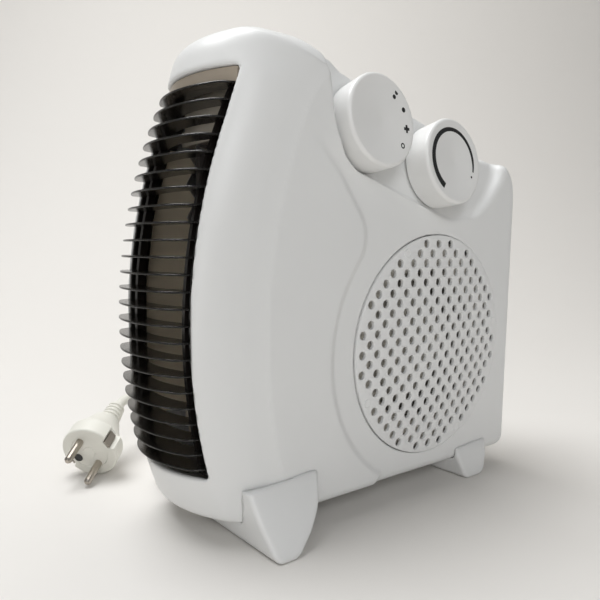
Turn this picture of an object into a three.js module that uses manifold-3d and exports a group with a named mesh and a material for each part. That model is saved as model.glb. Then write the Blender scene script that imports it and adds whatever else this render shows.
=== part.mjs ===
// Compact upright fan heater with a ceramic (PTC) heating block.
// Millimetres. X runs across the thickness, with the knobs and the round intake on the +X side.
// -Y is the warm-air outlet, +Y the rear, +Z up. The origin is on the floor, under the middle.
import * as THREE from 'three';
import { mergeVertices } from 'three/addons/utils/BufferGeometryUtils.js';
import Module from 'manifold-3d';

const wasm = await Module();
wasm.setup();

// ---------------------------------------------------------------- driving dimensions
const GAP = 0.3; // clearance between neighbouring pieces
const WALL = 2.4; // moulded wall thickness
const CROWN_EDGE = 24; // rounding between the crown and the sides
const SIDE_EDGE = 6; // rounding of the other side edges

const HEIGHT = 250; // floor to crown
const BELLY_Z = 12.5; // underside of the housing above the floor
const REAR_Y = 132.3; // rear face at the bottom
const REAR_TOP_Y = 122.7; // rear face at the top, leaning forward a little
const HORN_Z = 205.5; // top of the rear corner
const FLAT_X = 44; // flat side panels
const HEAD_X = 46.5; // fuller front part, near side
const PARTING_X = -26; // seam between the two shells

const NOSE_RADIUS = 262; // curve of the front, seen from the side
const NOSE_CENTRE_Y = 133.5;
const NOSE_CENTRE_Z = 108;
const BOW_RADIUS = 57; // curve of the front, seen from above
const OPENING_X = 33; // half width of the outlet
const OPENING_Z = [37, 230];

const HUB = { y: 44.5, z: 91 }; // fan axis and centre of the round intake
const INTAKE_RADIUS = 65.6;
const HOLE_PITCH = 11;
const HOLE_RADIUS = 2.5;
const HOLE_FIELD = 5.62 * HOLE_PITCH; // holes fill this radius

const PANEL_TILT = THREE.MathUtils.degToRad(10); // knob panel leans back
const PANEL_OFFSET = 70.7; // distance of the panel plane from the origin, along its normal
const KNOB_RADIUS = 23.9; // at the rim
const KNOB_HEIGHT = 15.5;
const KNOBS = { mode: { y: -13.7, z: 210 }, thermostat: { y: 42.5, z: 194.4 } };

const FIN_COUNT = 24;
const FIN_PITCH = 7.82;
const FIN_FIRST_Z = 41.8;
const FIN_DEPTH = 14;
const FIN_PROUD = 3.3; // fins stand in front of the housing
const FIN_THICKNESS = 1.3;
const STRUT_X = 25.5;

const HEATER = {
  front: -84, depth: 15, bottom: 50, top: 210, halfWidth: 29.8, frameBottom: 38.5, frameTop: 227.5,
};
const SCREWS = [[118, 30], [112, 178], [15, 204], [-62, 234], [-60, 24], [5, 165]];
const CORD_RADIUS = 3.5;
const GLAND = { x: -26, z: 32 };
const COIL = { x: -113, y: 158, inner: 29.7, outer: 51.7, height: 14.2 };

// ---------------------------------------------------------------- finishes
const finish = (color, roughness, metalness = 0) =>
  new THREE.MeshStandardMaterial({ color, roughness, metalness });
const WHITE = finish(0xe9eae7, 0.35);
const SMOKE = finish(0x2a2724, 0.2);
const MICA = finish(0x6f6350, 0.6);
const STEEL = finish(0xb9bcbf, 0.35, 0.9);
const ALUMINIUM = finish(0xc4c6c8, 0.4, 0.9);
const COPPER = finish(0xa8643a, 0.4, 0.9);
const CERAMIC = finish(0x55504a, 0.7);
const DARK = finish(0x2c2d2f, 0.5);
const BRASS = finish(0xb3a06a, 0.35, 0.9);
const LEAD = finish(0xe2e1d8, 0.45);
const RUBBER = finish(0x3a3a3a, 0.9);

// ---------------------------------------------------------------- solids
function solid(geometry) {
  geometry.deleteAttribute('normal');
  geometry.deleteAttribute('uv');
  const merged = mergeVertices(geometry, 1e-4);
  const triVerts = new Uint32Array(merged.index.array);
  const vertProperties = new Float32Array(merged.attributes.position.array);
  return new wasm.Manifold(new wasm.Mesh({ numProp: 3, vertProperties, triVerts }));
}

function toGeometry(manifold) {
  const mesh = manifold.getMesh();
  const geometry = new THREE.BufferGeometry();
  geometry.setAttribute('position', new THREE.BufferAttribute(new Float32Array(mesh.vertProperties), 3));
  geometry.setIndex(new THREE.BufferAttribute(new Uint32Array(mesh.triVerts), 1));
  geometry.computeVertexNormals();
  return geometry;
}

const heater = new THREE.Group();

function piece(name, shape, material, parent = heater) {
  const geometry = shape.isBufferGeometry ? shape : toGeometry(shape);
  const mesh = new THREE.Mesh(geometry, material);
  mesh.name = name;
  parent.add(mesh);
  return mesh;
}

const shapeOf = (points) => new THREE.Shape(points.map(([u, v]) => new THREE.Vector2(u, v)));

// A side-view outline given as [y, z], carried along X from x0 to x1.
function alongX(points, x0, x1, holes = []) {
  const shape = shapeOf(points);
  shape.holes = holes.map((hole) => new THREE.Path(hole.map(([u, v]) => new THREE.Vector2(u, v))));
  const geometry = new THREE.ExtrudeGeometry(shape, { depth: x1 - x0, bevelEnabled: false });
  const basis = new THREE.Matrix4().set(0, 0, 1, x0, 1, 0, 0, 0, 0, 1, 0, 0, 0, 0, 0, 1);
  return geometry.applyMatrix4(basis);
}

// A plan outline given as [x, y], carried upward from z0 to z1.
function alongZ(points, z0, z1) {
  const geometry = new THREE.ExtrudeGeometry(shapeOf(points), { depth: z1 - z0, bevelEnabled: false });
  return geometry.translate(0, 0, z0);
}

function box(x0, x1, y0, y1, z0, z1) {
  const geometry = new THREE.BoxGeometry(x1 - x0, y1 - y0, z1 - z0);
  return geometry.translate((x0 + x1) / 2, (y0 + y1) / 2, (z0 + z1) / 2);
}

// A turned piece from [radius, height] points; its axis is the local Z.
function turned(points, segments = 24) {
  const profile = points.map(([r, h]) => new THREE.Vector2(r, h));
  return new THREE.LatheGeometry(profile, segments).rotateX(Math.PI / 2);
}

// The same, with its axis along X through the side-view point (y, z).
function turnedAlongX(points, y, z, segments = 24) {
  return turned(points, segments).rotateY(Math.PI / 2).translate(0, y, z);
}

const rod = (radius, from, to) => [[0, from], [radius, from], [radius, to], [0, to]];
const tube = (inner, outer, from, to) =>
  [[inner, from], [outer, from], [outer, to], [inner, to], [inner, from]];

function circle(y, z, radius, count, start = 0) {
  return Array.from({ length: count }, (_, i) => {
    const angle = start + (i / count) * 2 * Math.PI;
    return [y + radius * Math.cos(angle), z + radius * Math.sin(angle)];
  });
}

// Joins rings of equal length into one closed skin, each end closed by a fan about its middle.
function loft(rings) {
  const count = rings[0].length;
  const middleOf = (ring) =>
    ring.reduce((sum, p) => sum.add(p), new THREE.Vector3()).divideScalar(count);
  const points = [...rings.flat(), middleOf(rings[0]), middleOf(rings.at(-1))];
  const positions = points.flatMap((p) => p.toArray());
  const index = [];
  for (let r = 0; r + 1 < rings.length; r++) {
    for (let i = 0; i < count; i++) {
      const a = r * count + i;
      const b = r * count + ((i + 1) % count);
      index.push(a, b, a + count, b, b + count, a + count);
    }
  }
  const last = (rings.length - 1) * count;
  const middle = rings.length * count;
  for (let i = 0; i < count; i++) {
    const next = (i + 1) % count;
    index.push(middle, next, i, middle + 1, last + i, last + next);
  }
  const geometry = new THREE.BufferGeometry();
  geometry.setAttribute('position', new THREE.Float32BufferAttribute(positions, 3));
  geometry.setIndex(index);
  return geometry;
}

// ---------------------------------------------------------------- housing form
const noseY = (z) => NOSE_CENTRE_Y - Math.sqrt(NOSE_RADIUS ** 2 - (z - NOSE_CENTRE_Z) ** 2);

// How far the front draws back from its foremost line at a distance x from the middle plane.
function setback(x, halfWidth) {
  const inner = Math.min(Math.abs(x), OPENING_X);
  const bow = BOW_RADIUS - Math.sqrt(BOW_RADIUS ** 2 - inner ** 2);
  const past = Math.max(0, Math.abs(x) - OPENING_X);
  const turn = Math.min(1, past / (halfWidth - OPENING_X));
  return bow + 0.71 * past + 30 * (1 - Math.sqrt(1 - turn ** 2));
}

// Rounds the corners [y, z, radius, steps] of a closed outline; a corner with no radius is kept.
function rounded(corners) {
  const points = [];
  corners.forEach(([y, z, radius = 0, steps = 2], i) => {
    if (!radius) {
      points.push([y, z]);
      return;
    }
    const here = new THREE.Vector2(y, z);
    const before = new THREE.Vector2(...corners.at(i - 1).slice(0, 2)).sub(here).normalize();
    const after = new THREE.Vector2(...corners[(i + 1) % corners.length].slice(0, 2)).sub(here).normalize();
    const half = Math.acos(before.dot(after)) / 2;
    const reach = radius / Math.tan(half);
    const start = here.clone().addScaledVector(before, reach);
    const end = here.clone().addScaledVector(after, reach);
    for (let s = 0; s <= steps; s++) {
      const t = s / steps;
      const q = start.clone().multiplyScalar((1 - t) ** 2);
      q.addScaledVector(here, 2 * t * (1 - t)).addScaledVector(end, t ** 2);
      points.push([q.x, q.y]);
    }
  });
  return points;
}

// The housing's side view on the middle plane, counter-clockwise seen from +X.
function sideOutline() {
  const nose = [];
  for (let z = 200; z > 30; z -= 26) nose.push([noseY(z), z]);
  return rounded([
    [REAR_Y, BELLY_Z, 9],
    [REAR_TOP_Y, HORN_Z, 28, 4],
    [92, HORN_Z, 14, 2],
    [-26, 238.5],
    [-33, 243, 9],
    [-65, HEIGHT, 20],
    [-96, HEIGHT, 17, 3],
    [-102, 227],
    ...nose,
    [noseY(BELLY_Z), BELLY_Z, 9],
  ]);
}

// The closed body, drawn out across X. A negative grow gives the hollow inside it.
function bodySolid(grow) {
  const anchor = -10; // the front's draw-back fades out here
  const outline = sideOutline();
  const normals = outline.map(([y, z], i) => {
    const [y0, z0] = outline.at(i - 1);
    const [y1, z1] = outline[(i + 1) % outline.length];
    return new THREE.Vector2(z1 - z0, y0 - y1).normalize();
  });
  const stations = [-1, -0.97, -0.88, -0.72, -0.4, 0, 0.4, 0.72, 0.88, 0.97, 1];
  const rings = stations.map((station) => {
    const halfWidth = (station < 0 ? FLAT_X : HEAD_X) + grow;
    const x = station * halfWidth;
    const back = setback(x, halfWidth);
    return outline.map(([y, z], i) => {
      const n = normals[i];
      const edge = n.y > 0.3 && y < -25 ? CROWN_EDGE : SIDE_EDGE;
      const over = Math.max(0, Math.abs(x) - (halfWidth - edge));
      const draw = edge - Math.sqrt(edge ** 2 - over ** 2);
      const py = y - Math.max(n.x, 0) * draw + n.x * grow;
      const pz = z - n.y * draw + n.y * grow;
      if (py > anchor) return new THREE.Vector3(x, py, pz);
      const share = 1 - back / (anchor - noseY(pz));
      return new THREE.Vector3(x, anchor - (anchor - py) * share, pz);
    });
  });
  return solid(loft(rings));
}

// The rear area of the near side sits lower than the head: an arc round the intake, then a crease.
function rearArea() {
  const arc = [];
  const radius = 1.27 * INTAKE_RADIUS;
  for (let degrees = 239; degrees >= 132; degrees -= 12) {
    const angle = THREE.MathUtils.degToRad(degrees);
    arc.push([HUB.y + radius * Math.cos(angle), HUB.z + radius * Math.sin(angle)]);
  }
  const outline = [...arc, [-36, 184], [-50, 203], [-40, 230], [10, 260], [160, 260], [160, 0], [12, 0]];
  return solid(alongX(outline.reverse(), FLAT_X, FLAT_X + 12));
}

const panelNormal = new THREE.Vector3(Math.cos(PANEL_TILT), 0, Math.sin(PANEL_TILT));

// The scooped pocket that the knobs stand in, opening to the near side and the top.
function knobPocket(grow) {
  const rim = [[-47, 236], [-44.5, 223.6], [-41.5, 208], [-33, 193.2], [-23.5, 187.2], [-11.5, 184.6],
    [31, 172], [56.7, 165], [79.2, 169], [91.5, 179], [104, 193], [109, 206], [112, 290], [-47, 290]];
  const centre = new THREE.Vector2(30, 215);
  const ringAt = (x, inset) => rim.map(([y, z]) => {
    const p = new THREE.Vector2(y, z);
    const inward = centre.clone().sub(p).normalize();
    p.addScaledVector(inward, inset - grow);
    return new THREE.Vector3(x, p.x, p.y);
  });
  const scoop = solid(loft([ringAt(15, 8), ringAt(34, 2.5), ringAt(39, 0.5), ringAt(60, -0.5)]));
  const front = box(0, 200, -200, 200, -300, 300);
  front.rotateY(-PANEL_TILT);
  const foot = panelNormal.clone().multiplyScalar(PANEL_OFFSET - grow);
  front.translate(foot.x, foot.y, foot.z);
  return scoop.intersect(solid(front));
}

// A frame on the panel under a knob: local Z runs out along the knob's axis.
function knobFrame({ y, z }) {
  const frame = new THREE.Group();
  const x = (PANEL_OFFSET - z * Math.sin(PANEL_TILT)) / Math.cos(PANEL_TILT);
  frame.position.set(x, y, z);
  frame.rotation.y = Math.PI / 2 - PANEL_TILT;
  frame.updateMatrix();
  return frame;
}
const modeFrame = knobFrame(KNOBS.mode);
const thermostatFrame = knobFrame(KNOBS.thermostat);
heater.add(modeFrame, thermostatFrame);

function shells() {
  // Material is kept between the lower rear area and the hollow behind it.
  const behindRearArea = solid(box(FLAT_X - WALL, 60, -60, 160, 0, 260));
  const hollow = bodySolid(-WALL).subtract(behindRearArea).subtract(knobPocket(WALL));
  const body = bodySolid(0).subtract(rearArea()).subtract(knobPocket(0)).subtract(hollow);
  const posts = SCREWS.map(([y, z]) =>
    solid(turnedAlongX(rod(4.6, PARTING_X - 6, FLAT_X), y, z, 8)).intersect(bodySolid(-WALL / 2)));
  const wells = SCREWS.map(([y, z]) =>
    solid(turnedAlongX(rod(6.8, -FLAT_X, PARTING_X - 7), y, z, 10)).intersect(bodySolid(-WALL / 2)));
  const opening = () => solid(box(-OPENING_X, OPENING_X, -160, -60, ...OPENING_Z));
  const seat = turnedAlongX(rod(INTAKE_RADIUS + GAP, FLAT_X - 1.7, 60), HUB.y, HUB.z, 36);
  const intake = turnedAlongX(rod(INTAKE_RADIUS - 3.5, FLAT_X - 6, 60), HUB.y, HUB.z, 36);
  const gland = turned(rod(6.2, 118, 145), 16).rotateX(-Math.PI / 2).translate(GLAND.x, 0, GLAND.z);
  const glandHole = solid(gland);
  const side = (x0, x1) => solid(box(x0, x1, -200, 200, -10, 300));

  let near = body.intersect(side(PARTING_X + GAP / 2, 80));
  near = posts.reduce((sum, post) => sum.add(post), near);
  near = near.subtract(opening()).subtract(solid(seat)).subtract(solid(intake)).subtract(glandHole);
  near = near.subtract(knobPocket(0));
  SCREWS.forEach(([y, z]) => {
    near = near.subtract(solid(turnedAlongX(rod(2, PARTING_X - 8, -10), y, z, 8)));
  });
  [modeFrame, thermostatFrame].forEach((frame) => {
    near = near.subtract(solid(turned(rod(3.6, -8, 8), 16).applyMatrix4(frame.matrix)));
  });

  let far = body.intersect(side(-80, PARTING_X - GAP / 2));
  far = wells.reduce((sum, well) => sum.add(well), far);
  far = far.subtract(opening()).subtract(glandHole);
  SCREWS.forEach(([y, z]) => {
    far = far.subtract(solid(turnedAlongX(rod(4.6, -60, -38), y, z, 10)));
    far = far.subtract(solid(turnedAlongX(rod(2.2, -60, -20), y, z, 8)));
    far = far.subtract(solid(turnedAlongX(rod(5, PARTING_X - 6.3, -20), y, z, 10)));
  });
  piece('near_housing', near, WHITE);
  piece('far_housing', far, WHITE);
}

// ---------------------------------------------------------------- outlet grille
function outletGrille() {
  const edge = OPENING_X - 0.4;
  const finOutline = (z) => {
    const front = noseY(z) - FIN_PROUD;
    const points = [];
    for (let step = -3; step <= 3; step++) {
      const x = (step / 3) * (edge - 2);
      points.push([x, front + setback(x, HEAD_X)]);
    }
    const corner = front + setback(edge, HEAD_X);
    points.push([edge, corner + 3]);
    const rear = [edge, 12, 0, -12, -edge].map((x) => [x, front + setback(x, HEAD_X) + FIN_DEPTH]);
    return [...points, ...rear, [-edge, corner + 3]];
  };
  const band = (front, depth) => {
    const [low, high] = OPENING_Z;
    const zs = Array.from({ length: 8 }, (_, i) => THREE.MathUtils.lerp(low + 0.4, high - 0.4, i / 7));
    const fore = zs.map((z) => [noseY(z) + front, z]);
    const aft = zs.map((z) => [noseY(z) + front + depth, z]).reverse();
    return [...aft, ...fore];
  };
  const parts = [];
  for (let i = 0; i < FIN_COUNT; i++) {
    const z = FIN_FIRST_Z + i * FIN_PITCH;
    parts.push(solid(alongZ(finOutline(z), z, z + FIN_THICKNESS)));
  }
  // A bowed strip fills the gap between the top fin and the top of the opening.
  const topFinZ = FIN_FIRST_Z + (FIN_COUNT - 1) * FIN_PITCH;
  const bowed = (x, depth) => [x, noseY(226) + setback(x, HEAD_X) + depth];
  const across = [-1, -0.8, -0.4, 0, 0.4, 0.8, 1].map((share) => share * (edge - 1));
  const strip = [...across.map((x) => bowed(x, 0.8)), ...across.toReversed().map((x) => bowed(x, 2.4))];
  parts.push(solid(alongZ(strip, topFinZ + 0.5, OPENING_Z[1] - 0.4)));
  [-1, 1].forEach((s) => {
    const x = s * STRUT_X;
    parts.push(solid(alongX(band(12.5, 4), x - 1.3, x + 1.3)));
    const flange = s * (edge - 0.7);
    parts.push(solid(alongX(band(12.2, 12.5), flange - 0.7, flange + 0.7)));
  });
  [OPENING_Z[0] + 1, OPENING_Z[1] - 1].forEach((z) => {
    parts.push(solid(box(-edge, edge, noseY(z) + 12.8, noseY(z) + 24, z - 0.6, z + 0.6)));
  });
  piece('outlet_grille', parts.reduce((sum, part) => sum.add(part)), SMOKE);
}

// ---------------------------------------------------------------- round intake
// Holes on a square lattice turned 45 degrees. Four places are left blank.
function holeCentres() {
  const blanks = [[-2.5, 5], [5.5, 1], [2.5, -5], [-5, -2.5]];
  const centres = [];
  for (let row = -11; row <= 11; row++) {
    for (let column = -7; column <= 7; column++) {
      const u = column + (row % 2 ? 0 : 0.5);
      const v = row / 2;
      const blank = blanks.some(([bu, bv]) => Math.hypot(bu - u, bv - v) < 0.3);
      const inField = Math.hypot(u, v) * HOLE_PITCH < HOLE_FIELD;
      if (inField && !blank) centres.push([u * HOLE_PITCH, v * HOLE_PITCH]);
    }
  }
  return centres;
}

function intakeGrille() {
  const holes = holeCentres().map(([u, v]) => circle(HUB.y + u, HUB.z + v, HOLE_RADIUS, 4).reverse());
  const disc = alongX(circle(HUB.y, HUB.z, INTAKE_RADIUS, 40), FLAT_X - 1.3, FLAT_X + 0.9, holes);
  const position = disc.attributes.position;
  for (let i = 0; i < position.count; i++) {
    const r = Math.hypot(position.getY(i) - HUB.y, position.getZ(i) - HUB.z);
    const dome = 2.6 * Math.max(0, 1 - (r / INTAKE_RADIUS) ** 1.6);
    position.setX(i, position.getX(i) + dome);
  }
  piece('intake_grille', solid(disc), WHITE);
}

// ---------------------------------------------------------------- knobs and switches
function knob(name, frame) {
  const top = 1 + KNOB_HEIGHT;
  const profile = [[0, 9.4], [3.4, 9.4], [3.4, 1], [KNOB_RADIUS - 0.7, 1], [KNOB_RADIUS, top - 2],
    [KNOB_RADIUS - 1.4, top], [0, top]];
  piece(name, turned(profile, 26), WHITE, frame);
}

function controls() {
  knob('function_knob', modeFrame);
  piece('function_shaft', turned(rod(3, -2.9, 9), 12), LEAD, modeFrame);
  const switchBody = turned([[0, -20], [11, -20], [13.5, -17], [13.5, -3.3], [0, -3.3]], 20);
  piece('rotary_switch', switchBody, DARK, modeFrame);

  knob('thermostat_knob', thermostatFrame);
  piece('thermostat_shaft', turned(rod(3, -2.9, 9), 12), BRASS, thermostatFrame);
  const thermostatBody = turned([[0, -14], [9, -14], [9, -8], [12, -8], [12, -3.3], [0, -3.3]], 20);
  piece('thermostat', thermostatBody, CERAMIC, thermostatFrame);
  piece('bimetal_strip', box(-4, 4, -16, 30, -16, -15.2), COPPER, thermostatFrame);
}

// ---------------------------------------------------------------- heating block
function heatingBlock() {
  const { front, depth, bottom, top, halfWidth, frameBottom, frameTop } = HEATER;
  const back = front + depth;
  const innerWidth = 2 * halfWidth - 4;
  const bars = 3;
  const barWidth = 4;
  const packWidth = (innerWidth - bars * barWidth - 7 * GAP) / (bars + 1);
  const z0 = bottom + 8;
  const z1 = top - 8;
  const peaks = 16;
  for (let i = 0; i <= bars; i++) {
    const x0 = -halfWidth + 2 + GAP / 2 + i * (packWidth + barWidth + 2 * GAP);
    const zig = [];
    for (let k = 0; k <= peaks; k++) {
      const z = THREE.MathUtils.lerp(z0 + 0.6, z1 - 1.6, k / peaks);
      zig.push([k % 2 ? x0 + packWidth - 0.8 : x0, z]);
    }
    const zag = zig.map(([x, z]) => [x + 0.8, z]);
    const bent = shapeOf([...zig, ...zag.reverse()]);
    const strip = new THREE.ExtrudeGeometry(bent, { depth: depth - 2, bevelEnabled: false });
    strip.rotateX(Math.PI / 2).translate(0, back - 1, 0);
    piece(`fin_pack_${i + 1}`, strip, ALUMINIUM);
    if (i < bars) {
      const bx = x0 + packWidth + GAP;
      piece(`ptc_bar_${i + 1}`, box(bx, bx + barWidth, front + 1, back - 1, z0, z1), CERAMIC);
    }
  }
  // Each end block carries a plate that closes the outlet off above or below the heating block.
  const endFrame = (block, plate) => solid(box(-halfWidth, halfWidth, front, back, ...block))
    .add(solid(box(-halfWidth, halfWidth, front + 2, front + 5, ...plate)));
  piece('heater_frame_top', endFrame([z1 + GAP, top], [top - 1, frameTop]), LEAD);
  piece('heater_frame_bottom', endFrame([bottom, z0 - GAP], [frameBottom, bottom + 1]), LEAD);
  [-1, 1].forEach((s) => {
    const x = s * (halfWidth + 0.7);
    const fore = [200, 164, 128, 92, 56].map((z) => [noseY(z) + 20.8, z]);
    const sheet = alongX([...fore, [back, 56], [back, 200]], x - 0.4, x + 0.4);
    piece(s > 0 ? 'near_mica_sheet' : 'far_mica_sheet', sheet, MICA);
  });
  piece('thermal_cutout', box(-8, 8, back + 0.5, back + 8, 176, 190), DARK);
}

// ---------------------------------------------------------------- fan
// Spiral casing outline, wall 0 inside and wall w outside.
function scrollOutline(w) {
  const points = [];
  for (let i = 0; i <= 14; i++) {
    const angle = THREE.MathUtils.degToRad(130 - (i / 14) * 220);
    const r = 58 + (i / 14) * 12.5 + w;
    points.push([HUB.y + r * Math.cos(angle), HUB.z + r * Math.sin(angle)]);
  }
  return [...points, [-20, HUB.z - 70.5 - w], [-66 - 3 * w, 50 - w], [-66 - 3 * w, 209 + w]].reverse();
}

function airDuct() {
  const outer = solid(alongX(scrollOutline(2), -17, 36));
  const inner = solid(alongX(scrollOutline(0), -15, 40));
  const mouth = [[-66.5, 48], [-66.5, 211], [-14, 160], [-14, 27]].reverse();
  const mouthInner = [[-80, 36], [-80, 225], [-10, 154], [-10, 27], [-20, 23]].reverse();
  const wide = solid(alongX(mouth, -31, 36));
  const wideInner = solid(alongX(mouthInner, -29, 34)).intersect(solid(box(-40, 40, -90, -16, 20, 209)));
  const motorHole = solid(turnedAlongX(rod(34, -20, 0), HUB.y, HUB.z, 32));
  const tail = solid(box(-50, 50, -90, -66.2, 0, 250));
  const duct = outer.add(wide).subtract(inner).subtract(wideInner).subtract(motorHole).subtract(tail);
  piece('air_duct', duct, LEAD);
  piece('inlet_ring', turnedAlongX(tube(48, 67.5, 36 + GAP, 38), HUB.y, HUB.z, 36), LEAD);
}

function blower() {
  const blades = 18;
  // The backplate rises to a domed hub with a blind boss for the shaft.
  const inside = [[0, 15], [2.3, 15], [2.3, 4], [7, 4], [7, 31.9], [21.5, 31.9], [32, 25.8],
    [39.8, 13.4], [42.3, 4]];
  const outside = [[54, 4], [54, 5.6], [43.6, 5.6], [41, 14], [33, 27], [22, 33.5], [0, 33.5]];
  const parts = [
    solid(turnedAlongX([...inside, ...outside], HUB.y, HUB.z, 24)),
    solid(turnedAlongX(tube(46, 54, 31, 32.6), HUB.y, HUB.z, 24)),
    solid(turnedAlongX(tube(46, 54, -12, -10.4), HUB.y, HUB.z, 24)),
  ];
  for (let i = 0; i < blades; i++) {
    const blade = box(-11, 31.8, -0.5, 0.5, 44.5, 53.4);
    blade.translate(0, 0, -49).rotateX(0.5).translate(0, 0, 49);
    blade.rotateX((i / blades) * 2 * Math.PI).translate(0, HUB.y, HUB.z);
    parts.push(solid(blade));
  }
  piece('blower_wheel', parts.reduce((sum, part) => sum.add(part)), LEAD);
  const turn = (name, points, material, segments = 20) =>
    piece(name, turnedAlongX(points, HUB.y, HUB.z, segments), material);
  turn('motor_shaft', rod(2, -38, 14), STEEL, 12);
  turn('motor_rotor', tube(2.3, 15.6, -33, -19), STEEL);
  turn('motor_stator', tube(16, 30, -32, -20), STEEL, 24);
  turn('rear_winding', tube(18, 26, -36, -32.3), COPPER);
  turn('front_winding', tube(18, 26, -19.7, -16), COPPER);
  turn('rear_end_bell', tube(5.3, 30, -38.4, -36.3), ALUMINIUM, 24);
  turn('front_end_bell', tube(5.3, 30, -15.7, -13.6), ALUMINIUM, 24);
  turn('rear_bearing', tube(2.3, 5, -38.4, -34.5), BRASS, 12);
  turn('front_bearing', tube(2.3, 5, -15.7, -13.6), BRASS, 12);
  turn('motor_mount', tube(8, 37, -41.3, -38.7), STEEL, 24);
}

// ---------------------------------------------------------------- fasteners and feet
function screws() {
  SCREWS.forEach(([y, z], i) => {
    const head = -38 - GAP;
    const profile = [[0, head - 2.4], [2.6, head - 2.4], [3.6, head - 1.6], [3.6, head], [1.7, head],
      [1.7, -14], [0, -14]];
    piece(`housing_screw_${i + 1}`, turnedAlongX(profile, y, z, 8), STEEL);
  });
}

// A bar across the underside whose ends flare outward and run up the sides of the housing.
function foot(name, profile, halfTop, halfFloor, topZ) {
  const flare = (halfFloor - halfTop) / topZ;
  const end = (side) => profile.map(([y, z]) => {
    const x = side * (halfTop + (topZ - z) * flare);
    return new THREE.Vector3(x, y, z);
  });
  const bar = solid(loft([end(-1), end(1)]));
  const clearance = bodySolid(GAP);
  const wide = clearance.subtract(rearArea().translate([GAP, 0, 0]));
  piece(name, bar.subtract(wide), WHITE);
}

function feet() {
  const front = [[-94.7, 36.6], [-92.6, 18], [-90, 4], [-87.5, 1], [-83.5, 0], [-78, 0], [-71, 2.2],
    [-63, 9], [-53.2, 19.6], [-48.5, 28], [-47, 36.6]];
  const rear = [[71, 25], [75, 14], [79.5, 4], [82, 1], [85.5, 0], [93, 0], [98, 1.2], [102, 5],
    [105.5, 12], [107.5, 25]];
  foot('front_foot', front, 46.3, 66, 36.6);
  foot('rear_foot', rear, 44.2, 50.7, 25);
  const inner = -FLAT_X - GAP;
  const outer = inner - 2.3;
  const pad = [[0, outer], [4.5, outer], [5.5, inner], [0, inner]];
  [[112, 160], [-40, 215], [-40, 40], [112, 48]].forEach(([y, z], i) => {
    piece(`rest_pad_${i + 1}`, turnedAlongX(pad, y, z, 14), RUBBER);
  });
}

// ---------------------------------------------------------------- mains lead
// Centreline of the lead, from the strain relief to the coil and from the coil to the plug.
const LEAD_OUT = [[-26, 162.8, 31.8], [-26.3, 174, 29.8], [-28.2, 185, 25], [-32.5, 195.5, 18.2],
  [-40, 203.6, 11.5], [-50.5, 208.2, 6.6], [-62, 209, 4.2], [-74, 207.8, 3.7], [-86.2, 206.7, 3.7]];
const LEAD_IN = [[-161.2, 131, 10.2], [-161.6, 119, 8], [-162, 106, 5.2], [-162.2, 92, 3.8],
  [-161.8, 70, 3.7], [-160.5, 47, 3.7], [-158.5, 24, 4.4], [-156, 3, 8.5], [-152.5, -17, 15.5],
  [-148, -36, 25], [-143, -53, 33], [-137, -67.5, 37.5], [-131, -78.3, 37.8], [-125.1, -86.1, 35.4]];
const PLUG = {
  face: new THREE.Vector3(-91.5, -120.6, 17.6),
  aim: new THREE.Vector3(0.65, -0.67, -0.35).normalize(), // the way the pins point
  pins: new THREE.Vector3(0.14, 0.57, -0.81), // from one pin to the other
};

function leadTube(name, points) {
  const curve = new THREE.CatmullRomCurve3(points.map((p) => new THREE.Vector3(...p)), false, 'centripetal');
  const section = new THREE.Shape();
  section.absarc(0, 0, CORD_RADIUS, 0, 2 * Math.PI);
  const steps = Math.ceil(curve.getLength() / 9);
  const geometry = new THREE.ExtrudeGeometry(section, { steps, extrudePath: curve, curveSegments: 4 });
  piece(name, solid(geometry), LEAD);
}

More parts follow.
